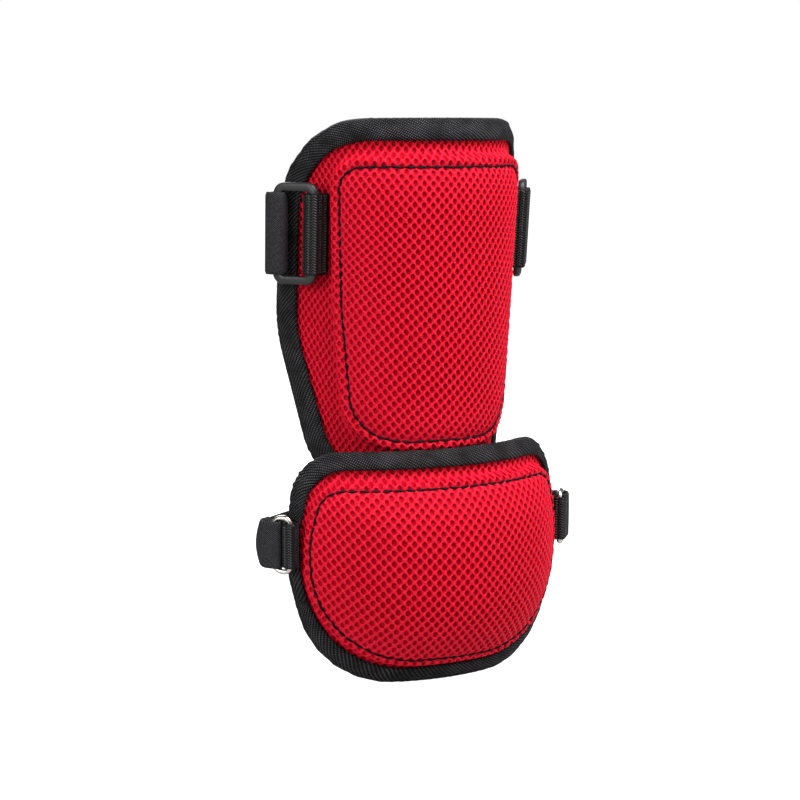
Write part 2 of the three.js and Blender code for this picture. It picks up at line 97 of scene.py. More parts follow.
def pattern_line(rows, arc_steps=24, side_steps=24, across_steps=64):
    """Closed line with rounded corners. Lines of one pad have matching points."""
    corners = rows + [(-u, w, r) for u, w, r in reversed(rows)]
    arcs = []
    for i, (u, w, r) in enumerate(corners):
        corner = np.array([u, w], float)
        before = unit(np.array(corners[i - 1][:2]) - corner)
        after = unit(np.array(corners[(i + 1) % len(corners)][:2]) - corner)
        half = math.acos(before @ after) / 2
        centre = corner + unit(before + after) * r / math.sin(half)
        spoke = corner + before * r / math.tan(half) - centre
        sweep = -math.copysign(math.pi - 2 * half, before[0] * after[1] - before[1] * after[0])
        turn = sweep * np.arange(arc_steps + 1) / arc_steps
        x = spoke[0] * np.cos(turn) - spoke[1] * np.sin(turn)
        y = spoke[0] * np.sin(turn) + spoke[1] * np.cos(turn)
        arcs.append(centre + np.stack([x, y], -1))
    points = []
    for i, arc in enumerate(arcs):
        points.append(arc)
        ahead = arcs[(i + 1) % len(arcs)][0]
        across = i in (len(rows) - 1, len(arcs) - 1)
        steps = across_steps if across else side_steps
        share = np.arange(1, steps)[:, None] / steps
        points.append(arc[-1] + (ahead - arc[-1]) * share)
    return np.concatenate(points)


for pad in (ARM, ELBOW):
    pad["drawn"] = {name: pattern_line(rows) for name, rows in pad["lines"].items()}
    pad["middle"] = np.array([0, (pad["lines"]["stitch"][0][1] + pad["lines"]["stitch"][-1][1]) / 2])


def on_pad(pad, u, w, lift):
    """Points in millimetres on a pad that is bent round the arm."""
    bend = pad["bend"] - pad["taper"] * (pad["top"] - w)
    turn = np.clip(u / bend, -pad["flare"], pad["flare"])
    straight = u - turn * bend
    dip = (pad["crown"] - w) / pad["barrel"]
    sin, cos = np.sin(turn), np.cos(turn)
    normal = np.stack([sin * np.cos(dip), -cos * np.cos(dip), -cos * np.sin(dip)], -1)
    normal /= np.linalg.norm(normal, axis=-1, keepdims=True)
    foot_y = pad["axis"] - bend * cos + straight * sin + pad["barrel"] * (1 - np.cos(dip))
    foot = np.stack([bend * sin + straight * cos, foot_y, pad["crown"] - pad["barrel"] * np.sin(dip)], -1)
    return foot + normal * np.asarray(lift)[..., None]


def share_out(pad, line, u, w):
    """How far out a point lies on the way from the pattern's middle to a line, 1 on the line."""
    spokes = pad["drawn"][line] - pad["middle"]
    bearing = np.arctan2(spokes[:, 1], spokes[:, 0])
    order = np.argsort(bearing)
    reach = np.interp(np.arctan2(w - pad["middle"][1], u), bearing[order],
                      np.hypot(*spokes.T)[order], period=2 * math.pi)
    return np.hypot(u, w - pad["middle"][1]) / reach


def distance_from(pad, line, u, w):
    """Distance of flat points from a pattern line, in any direction."""
    start = pad["drawn"][line]
    step = np.roll(start, -1, 0) - start
    length2 = (step * step).sum(1)
    points = np.stack([u.ravel(), w.ravel()], -1)
    nearest = np.empty(len(points))
    block = 2000
    for first in range(0, len(points), block):
        away = points[first:first + block, None] - start
        along = np.clip((away * step).sum(-1) / length2, 0, 1)
        nearest[first:first + block] = np.linalg.norm(away - along[..., None] * step, axis=-1).min(1)
    return nearest.reshape(u.shape)


def smooth_table(table, x):
    """Smooth height through a short table of places and heights, without overshoot."""
    at, height = np.array(table, float).T
    slope = np.diff(height) / np.diff(at)
    tangent = np.zeros(len(at))
    tangent[[0, -1]] = slope[[0, -1]]
    rising = slope[:-1] * slope[1:] > 0
    tangent[1:-1][rising] = 2 / (1 / slope[:-1][rising] + 1 / slope[1:][rising])
    k = np.clip(np.searchsorted(at, x) - 1, 0, len(at) - 2)
    width = at[k + 1] - at[k]
    t = np.clip((x - at[k]) / width, 0, 1)
    rise = height[k + 1] - height[k]
    return (height[k] + rise * t * t * (3 - 2 * t)
            + width * t * (1 - t) * (tangent[k] * (1 - t) - tangent[k + 1] * t))


def cover_lift(pad, u, w):
    """Height of the cover, and the distance from its stitch line, negative inside the panel."""
    share = share_out(pad, "stitch", u, w)
    away = distance_from(pad, "stitch", u, w)
    lift = np.where(share < 1, smooth_table(pad["panel"], share), smooth_table(pad["margin"], away))
    past_tape = np.where(share_out(pad, "tape", u, w) > 1, distance_from(pad, "tape", u, w), 0)
    to_edge = distance_from(pad, "edge", u, w)
    lift -= (TAPE_LIFT - EDGE_LIFT) * past_tape / (past_tape + to_edge)
    return lift, np.where(share < 1, -away, away)


def grid_faces(rows, columns, wrap_rows=False, wrap_columns=False):
    """Faces of a grid of points, and the row and column of each corner, counted on past a wrap."""
    row_starts = np.arange(rows if wrap_rows else rows - 1)
    column_starts = np.arange(columns if wrap_columns else columns - 1)
    r, c = np.meshgrid(row_starts, column_starts, indexing="ij")
    corner_rows = np.stack([r, r, r + 1, r + 1], -1).reshape(-1, 4)
    corner_columns = np.stack([c, c + 1, c + 1, c], -1).reshape(-1, 4)
    return (corner_rows % rows) * columns + corner_columns % columns, corner_rows, corner_columns


def add_piece(name, points, faces, material, slot, nodes=(), flat=None):
    """Smooth mesh from millimetres. `flat` gives each face corner's place on the unrolled cloth."""
    mesh = bpy.data.meshes.new(name)
    mesh.from_pydata((np.asarray(points).reshape(-1, 3) * MM).tolist(), [], [list(f) for f in faces])
    mesh.polygons.foreach_set("use_smooth", np.ones(len(mesh.polygons), bool))
    if flat is not None:
        layer = mesh.uv_layers.new(name="cloth")
        layer.data.foreach_set("uv", np.asarray(flat, np.float32).ravel())
    mesh.materials.append(material)
    piece = bpy.data.objects.new(name, mesh)
    bpy.context.collection.objects.link(piece)
    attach(piece, "root")
    if nodes:
        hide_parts(*nodes)
    return piece


def linear(colour):
    """Linear RGBA of an sRGB hex colour."""
    channels = [int(colour[i:i + 2], 16) / 255 for i in (1, 3, 5)]
    return [c / 12.92 if c <= 0.04045 else ((c + 0.055) / 1.055) ** 2.4 for c in channels] + [1]


def add_node(material, kind, inputs, **settings):
    """A shader node with its settings. Its inputs are values or the outputs of other nodes."""
    made = material.node_tree.nodes.new(kind)
    for name, value in settings.items():
        setattr(made, name, value)
    for socket, value in inputs.items():
        if isinstance(value, bpy.types.NodeSocket):
            material.node_tree.links.new(value, made.inputs[socket])
        else:
            made.inputs[socket].default_value = value
    return made


def new_material(name):
    material = bpy.data.materials.new(name)
    material.use_nodes = True
    material.node_tree.nodes.clear()
    return material


# Brushed polyester tricot: a soft black nap that drinks light and pales where it is seen edge on
brushed_tricot = new_material("brushed_black_tricot")
NAP = 0.9 * MM  # from tuft to tuft, drawn coarser than the real 0.3 to show
place = add_node(brushed_tricot, "ShaderNodeTexCoord", {})
nap = add_node(brushed_tricot, "ShaderNodeTexNoise",
               {"Vector": place.outputs["Object"], "Scale": 1 / NAP, "Detail": 3, "Roughness": 0.6})
mottle = add_node(brushed_tricot, "ShaderNodeTexNoise",
                  {"Vector": place.outputs["Object"], "Scale": 0.1 / NAP, "Detail": 2})
worn = add_node(brushed_tricot, "ShaderNodeMath", {0: nap.outputs["Fac"], 1: mottle.outputs["Fac"]},
                operation="MULTIPLY")
tone = add_node(brushed_tricot, "ShaderNodeValToRGB", {"Fac": worn.outputs[0]})
tone.color_ramp.elements[0].position = 0.12
tone.color_ramp.elements[0].color = linear("#19181a")
tone.color_ramp.elements[1].position = 0.45
tone.color_ramp.elements[1].color = linear("#39383b")
relief = add_node(brushed_tricot, "ShaderNodeBump",
                  {"Height": nap.outputs["Fac"], "Strength": 0.5, "Distance": 0.3 * MM})
shade = add_node(brushed_tricot, "ShaderNodeBsdfPrincipled",
                 {"Base Color": tone.outputs["Color"], "Roughness": 0.95, "Specular IOR Level": 0.1,
                  "Sheen Weight": 0.1, "Sheen Roughness": 0.5, "Normal": relief.outputs["Normal"]})
add_node(brushed_tricot, "ShaderNodeOutputMaterial", {"Surface": shade.outputs["BSDF"]})

LINING_GROOVE = 0.9  # depth of the panel's seam where it shows through on the lining
GROOVE_WIDTH = 1.6
LINING_PUFF = 1.1  # swelling of the lining away from that groove
PUFF_FROM_SEAM = 5
PUFF_FROM_EDGE = 7.2
PUFF_RISE = 12  # width over which the puff comes up from the edge
RIDGE_SLACK = 0.9  # the cover stands off the foam in the ridge beside the seam
RIDGE_FROM_SEAM = 3
RIDGE_WIDTH = 2.5


def foam_pad(name, pad, node):
    """Closed pad: rings from the middle out over the foam's face, and back in over the lining."""
    stitch, tape, edge = (pad["drawn"][line] for line in ("stitch", "tape", "edge"))
    middle = pad["middle"]
    rings = [middle + (stitch - middle) * s for s in (0.1, 0.25, 0.4, 0.6, 0.75, 0.86, 0.93, 0.97, 1)]
    rings += [stitch + (tape - stitch) * s for s in (0.06, 0.12, 0.2, 0.3, 0.45, 0.6, 0.8, 1)]
    rings += [tape + (edge - tape) * s for s in (0.3, 0.6, 0.85, 1)]
    flat = np.array(rings)
    u, w = flat[..., 0], flat[..., 1]
    lift, away = cover_lift(pad, u, w)
    slack = RIDGE_SLACK * np.exp(-((away - RIDGE_FROM_SEAM) / RIDGE_WIDTH) ** 2)
    face = on_pad(pad, u, w, lift - MESH_CLOTH - GAP - slack)
    off_edge = np.clip((distance_from(pad, "edge", u, w) - PUFF_FROM_EDGE) / PUFF_RISE, 0, 1)
    puff = LINING_PUFF * off_edge * (1 - np.exp(-(away / PUFF_FROM_SEAM) ** 2))
    groove = LINING_GROOVE * np.exp(-(away / GROOVE_WIDTH) ** 2)
    lining = on_pad(pad, u, w, groove - puff)

    # Fans of faces close the middle of the face and of the lining
    grid = np.concatenate([face, lining[::-1]])
    rows, count = grid.shape[:2]
    crown_lift = [pad["panel"][0][1] - MESH_CLOTH - GAP, -LINING_PUFF]
    crowns = on_pad(pad, middle[[0, 0]], middle[[1, 1]], crown_lift)
    points = np.concatenate([grid.reshape(-1, 3), crowns])
    faces = grid_faces(rows, count, wrap_columns=True)[0].tolist()
    first, last = np.arange(count), (rows - 1) * count + np.arange(count)
    faces += np.stack([np.roll(first, -1), first, np.full(count, rows * count)], -1).tolist()
    faces += np.stack([last, np.roll(last, -1), np.full(count, rows * count + 1)], -1).tolist()
    piece = add_piece(name, points, faces, brushed_tricot, "lined_foam", [node])


foam_pad("arm_foam", ARM, "arm_pad")
foam_pad("elbow_foam", ELBOW, "elbow_pad")


# Air-mesh covers
# Red knitted spacer cloth drawn over the foam and sewn through it round a raised panel. Its face is a net
# of cords round oval holes, with a closed ground under them. The holes close up where the seam pulls.
HOLE_SHARE = (0.228, 0.297)  # half width and half height of a hole, as shares of the pattern's repeat
HOLE_SMALLEST = 0.58  # size of a closed-up hole, as a share of an open one
HOLE_RINGS = [(1.2, -0.02, 0.1), (1.03, 0.5, 0.95), (0.93, 0.9, 1)]  # size, depth and shade: rim, wall, floor
SEAM_CLOSED = 0.3  # how open the holes stay where the seam pulls the cloth tight
CELL_TIP = 0.76  # half height of one cell of the net in its middle, as a share of a row
CORD_RISE = 0.2  # height of a cord's crest over the rims beside it
UNDER_TAPE = 3.0  # the cloth runs on this far under the tape
NET_SPARE = 20  # rows are laid this far past the pattern's ends, because they lean
# The height's share paints shade in the holes and highlights on the crests; the fuzz's share is the yarn's
# random tone
NET_SHADE = 0.56  # shares of the colour's range that the height in the net and the fuzz take
FUZZ_SHADE = 0.8

# `pitch` and `row` are the spacings of the holes along a row and from row to row, before the cloth is
# drawn over the foam. It is laid askew: its rows fall to the right by the first share at the top and by
# the second lower down, and `smile` bends them up at both sides where the dome stretches them.
ARM["net"] = {"pitch": 3.05, "row": 2.26, "fall": (0.075, 0.25), "fall_between": (100, 50), "smile": 0}
ELBOW["net"] = {"pitch": 3.6, "row": 2.16, "fall": (0.04, 0.04), "fall_between": (-20, -60), "smile": 0.00225}

# Warp-knitted polyester: bright red yarn, painted paler on the cords' crowns as highlight and deep red in the
# holes as shade
air_mesh = new_material("warp_knit_red_polyester")
YARN = 0.6  # millimetres between the yarns of a cord, drawn coarser than the real 0.2 to show
WAVE_PERIOD = math.pi / 10  # of a wave texture at scale 1
flat_cloth = add_node(air_mesh, "ShaderNodeUVMap", {}, uv_map="cloth")
fuzz = add_node(air_mesh, "ShaderNodeTexNoise",
                {"Vector": flat_cloth.outputs["UV"], "Scale": 1 / YARN, "Detail": 3, "Roughness": 0.7})
yarn = add_node(air_mesh, "ShaderNodeTexWave",
                {"Vector": flat_cloth.outputs["UV"], "Scale": WAVE_PERIOD / YARN, "Distortion": 6,
                 "Detail": 2, "Detail Scale": 2})
height = add_node(air_mesh, "ShaderNodeAttribute", {}, attribute_name="height")
lit = add_node(air_mesh, "ShaderNodeMath", {0: fuzz.outputs["Fac"], 1: FUZZ_SHADE, 2: height.outputs["Fac"]},
               operation="MULTIPLY_ADD")
# Painted shade and highlight: deep red down the walls and floors of the holes, paler up on the cords' crests
red = add_node(air_mesh, "ShaderNodeValToRGB", {"Fac": lit.outputs[0]})
red.color_ramp.elements[0].position = 0.36
red.color_ramp.elements[0].color = linear("#a50011")
red.color_ramp.elements[1].position = 0.62
red.color_ramp.elements[1].color = linear("#b4021f")
red.color_ramp.elements.new(0.88).color = linear("#c60624")
red.color_ramp.elements.new(1.0).color = linear("#da2039")
relief = add_node(air_mesh, "ShaderNodeBump",
                  {"Height": yarn.outputs["Fac"], "Strength": 0.6, "Distance": 0.2 * MM})
shade = add_node(air_mesh, "ShaderNodeBsdfPrincipled",
                 {"Base Color": red.outputs["Color"], "Roughness": 0.5, "Specular IOR Level": 0.07,
                  "Normal": relief.outputs["Normal"]})
add_node(air_mesh, "ShaderNodeOutputMaterial", {"Surface": shade.outputs["BSDF"]})


def smooth_step(low, high, x):
    """Eased rise from 0 to 1 between two places."""
    t = np.clip((x - low) / (high - low), 0, 1)
    return t * t * (3 - 2 * t)


def add_painted_shade_height(piece, heights):
    """Height of each point in its cloth, which the material reads to paint shade in hollows and highlights on
    crests.
    """
    values = np.ravel(heights).astype(np.float32)
    piece.data.attributes.new("height", "FLOAT", "POINT").data.foreach_set("value", values)


def mesh_cover(name, pad, node):
    """Net of six-sided cells, each with a rounded rim, a wall and a floor round its hole."""
    edge = pad["drawn"]["edge"]
    pitch, row_step, smile = (pad["net"][key] for key in ("pitch", "row", "smile"))
    across = int(edge[:, 0].max() / pitch) + 2
    lowest, highest = edge[:, 1].min() - NET_SPARE, edge[:, 1].max() + NET_SPARE
    rows = np.arange(int(lowest / row_step), int(highest / row_step))
    column, row = (g.ravel() for g in np.meshgrid(np.arange(-across, across + 1), rows))
    centre = np.stack([(column + 0.5 * (row % 2)) * pitch, row * row_step], -1)

    def laid(net):
        """Places of the net's points on the pattern, with the rows leaning."""
        u, w = net[..., 0], net[..., 1]
        start, end = pad["net"]["fall_between"]
        first, last = pad["net"]["fall"]
        fall = first + (last - first) * smooth_step(0, 1, (w - start) / (end - start))
        return u, w - fall * u + smile * u * u

    u, w = laid(centre)
    past_tape = np.where(share_out(pad, "tape", u, w) > 1, distance_from(pad, "tape", u, w), 0)
    centre = centre[(past_tape < UNDER_TAPE) & (share_out(pad, "edge", u, w) < 1)]
    u, w = laid(centre)

    # The holes open towards the panel's middle, and only in part on the margin, past the foot of the ridge
    away = cover_lift(pad, u, w)[1]
    foot = pad["margin"][5][0]
    opening = np.where(away < 0, 0.7 * smooth_step(0.2, 3, -away) + 0.3 * smooth_step(3, 22, -away),
                       0.7 * smooth_step(0.3, 1.4, away) + 0.1 * smooth_step(foot - 1, foot + 2, away))
    opening = SEAM_CLOSED + (1 - SEAM_CLOSED) * opening

    def cloth(u, w):
        return on_pad(pad, u, w, cover_lift(pad, u, w)[0])

    beside = 0.4
    out = np.cross(cloth(u + beside, w) - cloth(u - beside, w), cloth(u, w + beside) - cloth(u, w - beside))
    out /= np.linalg.norm(out, axis=1, keepdims=True)

    # Six corners and the middles of the slanting sides between them, shared by neighbouring cells
    half, tip = pitch / 2, CELL_TIP * row_step
    low = row_step - tip
    upper = [(half, low), (half / 2, (low + tip) / 2), (0, tip), (-half / 2, (low + tip) / 2), (-half, low)]
    border = np.array(upper + [(-u, -w) for u, w in upper])
    count = len(border)
    bearing = np.arctan2(border[:, 1] / row_step, border[:, 0] / pitch * 2)
    hole = np.array([HOLE_SHARE[0] * pitch, HOLE_SHARE[1] * 2 * row_step])
    oval = np.stack([np.cos(bearing), np.sin(bearing)], -1) * hole
    corners = np.round(centre[:, None] + border, 6).reshape(-1, 2)
    shared, number = np.unique(corners, axis=0, return_inverse=True)

    size = (HOLE_SMALLEST + (1 - HOLE_SMALLEST) * opening)[:, None, None]
    flat_parts = [shared]
    # The material paints shade in the holes and highlights on the crests by these heights
    heights = [np.ones(len(shared))]
    sunk = []
    for scale, depth, shading in HOLE_RINGS:
        flat_parts.append((centre[:, None] + oval * scale * size).reshape(-1, 2))
        heights.append(np.repeat(1 - shading * opening ** 0.6, count))
        sunk.append(np.repeat((CORD_RISE + depth * opening)[:, None] * out, count, axis=0))
    net = np.concatenate(flat_parts)
    points = cloth(*laid(net))
    points[len(shared):] -= np.concatenate(sunk)

    cells = len(centre)
    first = len(shared) + cells * count * np.arange(len(HOLE_RINGS))
    loops = [number.reshape(-1, count)] + [f + np.arange(cells * count).reshape(-1, count) for f in first]
    sides = []
    for outer, inner in zip(loops[:-1], loops[1:]):
        quads = np.stack([outer, np.roll(outer, -1, 1), np.roll(inner, -1, 1), inner], -1)
        sides.append(quads.reshape(-1, 4))
    faces = np.concatenate(sides).tolist() + loops[-1].tolist()
    flat = net[np.concatenate([np.ravel(f) for f in faces])]
    piece = add_piece(name, points, faces, air_mesh, "air_mesh", [node], flat)
    add_painted_shade_height(piece, NET_SHADE * np.concatenate(heights))


mesh_cover("arm_mesh", ARM, "arm_cover")
mesh_cover("elbow_mesh", ELBOW, "elbow_cover")


# Panel seams
# One run of heavy black thread round each raised panel, sewn through cover, foam and lining, so it shows
# as stitches lying in the seam on both sides.
STITCH_PERIOD = 4.4
STITCH_LENGTH = 4.2
THREAD = 0.56  # half thickness
ASKEW = 0.25  # how far a stitch's ends lie off the seam
SEAM_SEAT = {"cover": 0.25, "lining": 0.2}  # height of the stitches' middle over the groove
SEAM_PROUD = {"cover": 0.45, "lining": 0.4}

# Bonded polyester thread: black, smooth and slightly waxy
bonded_thread = new_material("bonded_black_thread")
TWIST = 0.7  # millimetres from strand to strand
place = add_node(bonded_thread, "ShaderNodeTexCoord", {})
strand = add_node(bonded_thread, "ShaderNodeTexWave",
                  {"Vector": place.outputs["Object"], "Scale": WAVE_PERIOD / (TWIST * MM)},
                  bands_direction="DIAGONAL")
tone = add_node(bonded_thread, "ShaderNodeValToRGB", {"Fac": strand.outputs["Fac"]})
tone.color_ramp.elements[0].color = linear("#060304")
tone.color_ramp.elements[1].color = linear("#26171c")
relief = add_node(bonded_thread, "ShaderNodeBump",
                  {"Height": strand.outputs["Fac"], "Strength": 0.4, "Distance": 0.1 * MM})
shade = add_node(bonded_thread, "ShaderNodeBsdfPrincipled",
                 {"Base Color": tone.outputs["Color"], "Roughness": 0.6, "Specular IOR Level": 0.06,
                  "Normal": relief.outputs["Normal"]})
add_node(bonded_thread, "ShaderNodeOutputMaterial", {"Surface": shade.outputs["BSDF"]})


def run_along(line):
    """Length of a line up to each of its points."""
    return np.concatenate([[0], np.cumsum(np.linalg.norm(np.diff(line, axis=0), axis=1))])


def evenly(line, spacing, closed=False):
    """Points at an even spacing along a line, and their places along it."""
    if closed:
        line = np.concatenate([line, line[:1]])
    run = run_along(line)
    count = max(2, round(run[-1] / spacing) + 1)
    at = np.linspace(0, run[-1], count)
    points = np.stack([np.interp(at, run, column) for column in line.T], -1)
    return (points[:-1], at) if closed else (points, at)


def tube(path, radius, sides=8):
    """Grid of points round a path, one row for each of its points. The radius may vary along it."""
    ahead = np.gradient(path, axis=0)
    ahead /= np.linalg.norm(ahead, axis=1, keepdims=True)
    across = np.cross(ahead, [0.31, 0.95, 0.05])
    across /= np.linalg.norm(across, axis=1, keepdims=True)
    up = np.cross(across, ahead)
    turn = 2 * math.pi * np.arange(sides) / sides
    ring = across[:, None] * np.cos(turn)[:, None] + up[:, None] * np.sin(turn)[:, None]
    return path[:, None] + ring * np.broadcast_to(radius, len(path))[:, None, None]


def joined(grids):
    """Points and faces of tubes with closed ends."""
    points, faces, first = [], [], 0
    for grid in grids:
        rows, columns = grid.shape[:2]
        points.append(grid.reshape(-1, 3))
        quads = grid_faces(rows, columns, wrap_columns=True)[0]
        faces += (quads[:, ::-1] + first).tolist()
        last = first + (rows - 1) * columns
        faces.append(list(range(first, first + columns)))
        faces.append(list(range(last + columns - 1, last - 1, -1)))
        first += rows * columns
    return np.concatenate(points), faces


# Rise of a stitch along its length: up out of the cloth and down into it again
STITCH_SHAPE = np.sin(np.linspace(0.12, math.pi - 0.12, 7))


def stitches(flat_line, point_at, period, length, radius, proud, closed=True, askew=0):
    """Stitches along a flat line. Each dives into the cloth at its ends and lies a little askew."""
    line, at = evenly(flat_line, 0.5, closed)
    total = at[-1]
    count = round(total / period)
    run = at[:len(line)]
    along_stitch = np.linspace(-1, 1, len(STITCH_SHAPE))
    made = []
    for k in range(count):
        along = (k + 0.5 + along_stitch / 2 * length / period) * total / count
        u, w = (np.interp(along, run, column, period=total if closed else None) for column in line.T)
        heading = unit(np.array([u[-1] - u[0], w[-1] - w[0]]))
        shift = askew * along_stitch * math.sin(1.7 * k)
        place = point_at(u - heading[1] * shift, w + heading[0] * shift, proud * (STITCH_SHAPE * 1.6 - 1))
        made.append(tube(place, radius * (0.55 + 0.45 * STITCH_SHAPE)))
    return made


def panel_seam(name, pad):
    """Stitches of one seam, on the cover and on the lining."""
    seam = pad["drawn"]["stitch"]
    on_cover = pad["panel"][-1][1] + SEAM_SEAT["cover"]
    on_lining = LINING_GROOVE - SEAM_SEAT["lining"]
    front = stitches(seam, lambda u, w, rise: on_pad(pad, u, w, on_cover + rise),
                     STITCH_PERIOD, STITCH_LENGTH, THREAD, SEAM_PROUD["cover"], askew=ASKEW)
    back = stitches(seam, lambda u, w, rise: on_pad(pad, u, w, on_lining - rise),
                    STITCH_PERIOD, STITCH_LENGTH, THREAD, SEAM_PROUD["lining"], askew=ASKEW)
    add_piece(name, *joined(front + back), bonded_thread, "binding_tape")


panel_seam("arm_panel_seam", ARM)
panel_seam("elbow_panel_seam", ELBOW)


# Bindings
# Black twill tape folded over the raw edge of each pad and sewn through. It is cut on the bias, so its
# ribs lie aslant, and it puckers into small fans where it is led round a corner.
TAPE = 1.2  # thickness
TAPE_BULGE = 1.1  # how far it stands up between its lip and the edge
TAPE_CORNER = 1.4  # distance from the raw edge at which the tape begins to turn over it
PUCKER = 0.3  # height of one wave of the fans at the sharpest corners
PUCKER_SPACING = 3.1
PUCKER_RADIUS = 26  # corners rounder than this pucker less
PUCKER_LEAST = 0.12
EVENED_OVER = 25  # points of the edge over which its bend is averaged

# Twill-woven polyester tape: dull black with slanting ribs, and specks of painted highlight where their
# floats catch light
twill_tape = new_material("twill_woven_black_tape")
RIB = 1.3  # millimetres from rib to rib, drawn coarser than the real 0.8 to show
FLOAT = 0.8  # length of one float on a rib
PATCH = 8.333  # millimetres across the patches over which the painted specks of highlight grow brighter or duller
flat_tape = add_node(twill_tape, "ShaderNodeUVMap", {}, uv_map="cloth")
slant = add_node(twill_tape, "ShaderNodeMapping",
                 {"Vector": flat_tape.outputs["UV"], "Rotation": (0, 0, math.radians(-52))})
rib = add_node(twill_tape, "ShaderNodeTexWave",
               {"Vector": slant.outputs["Vector"], "Scale": WAVE_PERIOD / RIB, "Distortion": 1.2, "Detail": 1,
                "Detail Scale": 0.6})
floats = add_node(twill_tape, "ShaderNodeTexWave",
                  {"Vector": slant.outputs["Vector"], "Scale": WAVE_PERIOD / FLOAT, "Distortion": 1.5,
                   "Detail": 1}, bands_direction="Y")
ribs_and_painted_glint = add_node(twill_tape, "ShaderNodeMath", {0: rib.outputs["Fac"], 1: floats.outputs["Fac"]},
                 operation="MULTIPLY")
patchy = add_node(twill_tape, "ShaderNodeTexNoise",
                  {"Vector": flat_tape.outputs["UV"], "Scale": 1 / PATCH, "Detail": 3})
bright = add_node(twill_tape, "ShaderNodeMath", {0: ribs_and_painted_glint.outputs[0], 1: patchy.outputs["Fac"]},
                  operation="MULTIPLY")
# Painted highlight: the specks on the ribs' floats are coloured grey over the black
tone = add_node(twill_tape, "ShaderNodeValToRGB", {"Fac": bright.outputs[0]})
tone.color_ramp.elements[0].position = 0.14
tone.color_ramp.elements[0].color = linear("#030303")
tone.color_ramp.elements[1].position = 0.5
tone.color_ramp.elements[1].color = linear("#565559")
relief = add_node(twill_tape, "ShaderNodeBump",
                  {"Height": ribs_and_painted_glint.outputs[0], "Strength": 0.9, "Distance": 0.35 * MM})
shade = add_node(twill_tape, "ShaderNodeBsdfPrincipled",
                 {"Base Color": tone.outputs["Color"], "Roughness": 0.6, "Specular IOR Level": 0.12,
                  "Normal": relief.outputs["Normal"]})
add_node(twill_tape, "ShaderNodeOutputMaterial", {"Surface": shade.outputs["BSDF"]})


def binding(name, pad, node):
    """Tape round a pad's edge: its section runs from the front lip over the edge to the back lip."""
    edge, lip = pad["drawn"]["edge"], pad["drawn"]["tape"]
    inward = lip - edge
    width = np.linalg.norm(inward, axis=1)
    outward = -inward / width[:, None]
    off_edge = GAP + TAPE / 2
    share = np.linspace(0, 1, 8)
    arc = np.linspace(math.pi / 2, -math.pi / 2, 11)[1:-1]
    bulge = TAPE_BULGE * np.sin(math.pi * share) ** 0.7
    inset = -width[:, None] * (1 - share) - TAPE_CORNER * share
    lift = TAPE_LIFT * (1 - share) + EDGE_LIFT * share + off_edge + bulge
    front = np.stack(np.broadcast_arrays(inset, lift), -1)
    over = np.stack([-TAPE_CORNER + (TAPE_CORNER + off_edge) * np.cos(arc),
                     EDGE_LIFT / 2 + (EDGE_LIFT / 2 + off_edge) * np.sin(arc)], -1)
    over = np.broadcast_to(over, (len(edge), *over.shape))
    back = np.stack(np.broadcast_arrays(inset[:, ::-1], -off_edge - 0.5 * bulge), -1)
    middle = np.concatenate([front, over, back], 1)
    ahead = np.gradient(middle, axis=1)
    normal = np.stack([-ahead[..., 1], ahead[..., 0]], -1)
    normal /= np.linalg.norm(normal, axis=-1, keepdims=True)

    # Two slanting waves along the tape make the fans, stronger where its edge bends
    run = run_along(np.vstack([edge, edge[:1]]))
    turn = np.roll(edge, -1, 0) - edge
    bearing = np.unwrap(np.arctan2(turn[:, 1], turn[:, 0]))
    bent = np.abs(np.gradient(bearing)) / np.maximum(np.linalg.norm(turn, axis=1), 0.1)
    over_end = EVENED_OVER // 2
    bent = np.convolve(np.concatenate([bent[-over_end:], bent, bent[:over_end]]),
                       np.ones(EVENED_OVER) / EVENED_OVER, "valid")
    strain = np.clip(bent * PUCKER_RADIUS, PUCKER_LEAST, 1)
    column = np.linspace(0, 1, middle.shape[1])
    along = run[:-1, None] / PUCKER_SPACING
    fan = (np.sin(2 * math.pi * (along + 2.2 * column))
           + 0.6 * np.sin(2 * math.pi * (along / 1.7 - 1.4 * column + 0.3)))
    pucker = PUCKER * strain[:, None] * fan * np.sin(math.pi * np.clip(column * 1.02, 0, 1)) ** 0.5

    outside = middle + normal * (TAPE / 2 + pucker)[..., None]
    inside = middle - normal * TAPE / 2
    section = np.concatenate([outside, inside[:, ::-1]], 1)
    u = edge[:, None, 0] + outward[:, None, 0] * section[..., 0]
    w = edge[:, None, 1] + outward[:, None, 1] * section[..., 0]
    points = on_pad(pad, u, w, section[..., 1])
    faces, corner_rows, corner_columns = (
        part[:, ::-1] for part in grid_faces(*points.shape[:2], wrap_rows=True, wrap_columns=True))
    mean = section.mean(0)
    girth = run_along(np.vstack([mean, mean[:1]]))
    flat = np.stack([run[corner_rows], girth[corner_columns]], -1)
    add_piece(name, points, faces, twill_tape, "binding_tape", [node], flat)


binding("arm_edge_tape", ARM, "arm_binding")
binding("elbow_edge_tape", ELBOW, "elbow_binding")


# Webbing tabs
# Short strips of black herringbone webbing, each folded round the bar of a loop or ring, with both ends
# sewn to the pad's margin. The woven chevrons stand up in columns.
WEBBING = 1.4  # thickness
COLUMN = 2.8  # width of one column of chevrons
CHEVRON = 1.15  # height of one chevron
WOVEN_RISE = 0.4  # height of the chevrons
WOVEN_STEP = (0.3, 0.19)  # steps of its mesh along the tab and across it
SEWN = 0.8  # length of each end under the sewing
SEWING_PERIOD = 2.4
SEWING_LENGTH = 2.2
SEWING_THREAD = 0.22  # half thickness
SEWING_PROUD = 0.2
SEWING_SEAT = 0.1
SEWING_INSET = 2  # from the edges of the band
SELVEDGE = 0.8  # width over which the webbing thins towards its edges

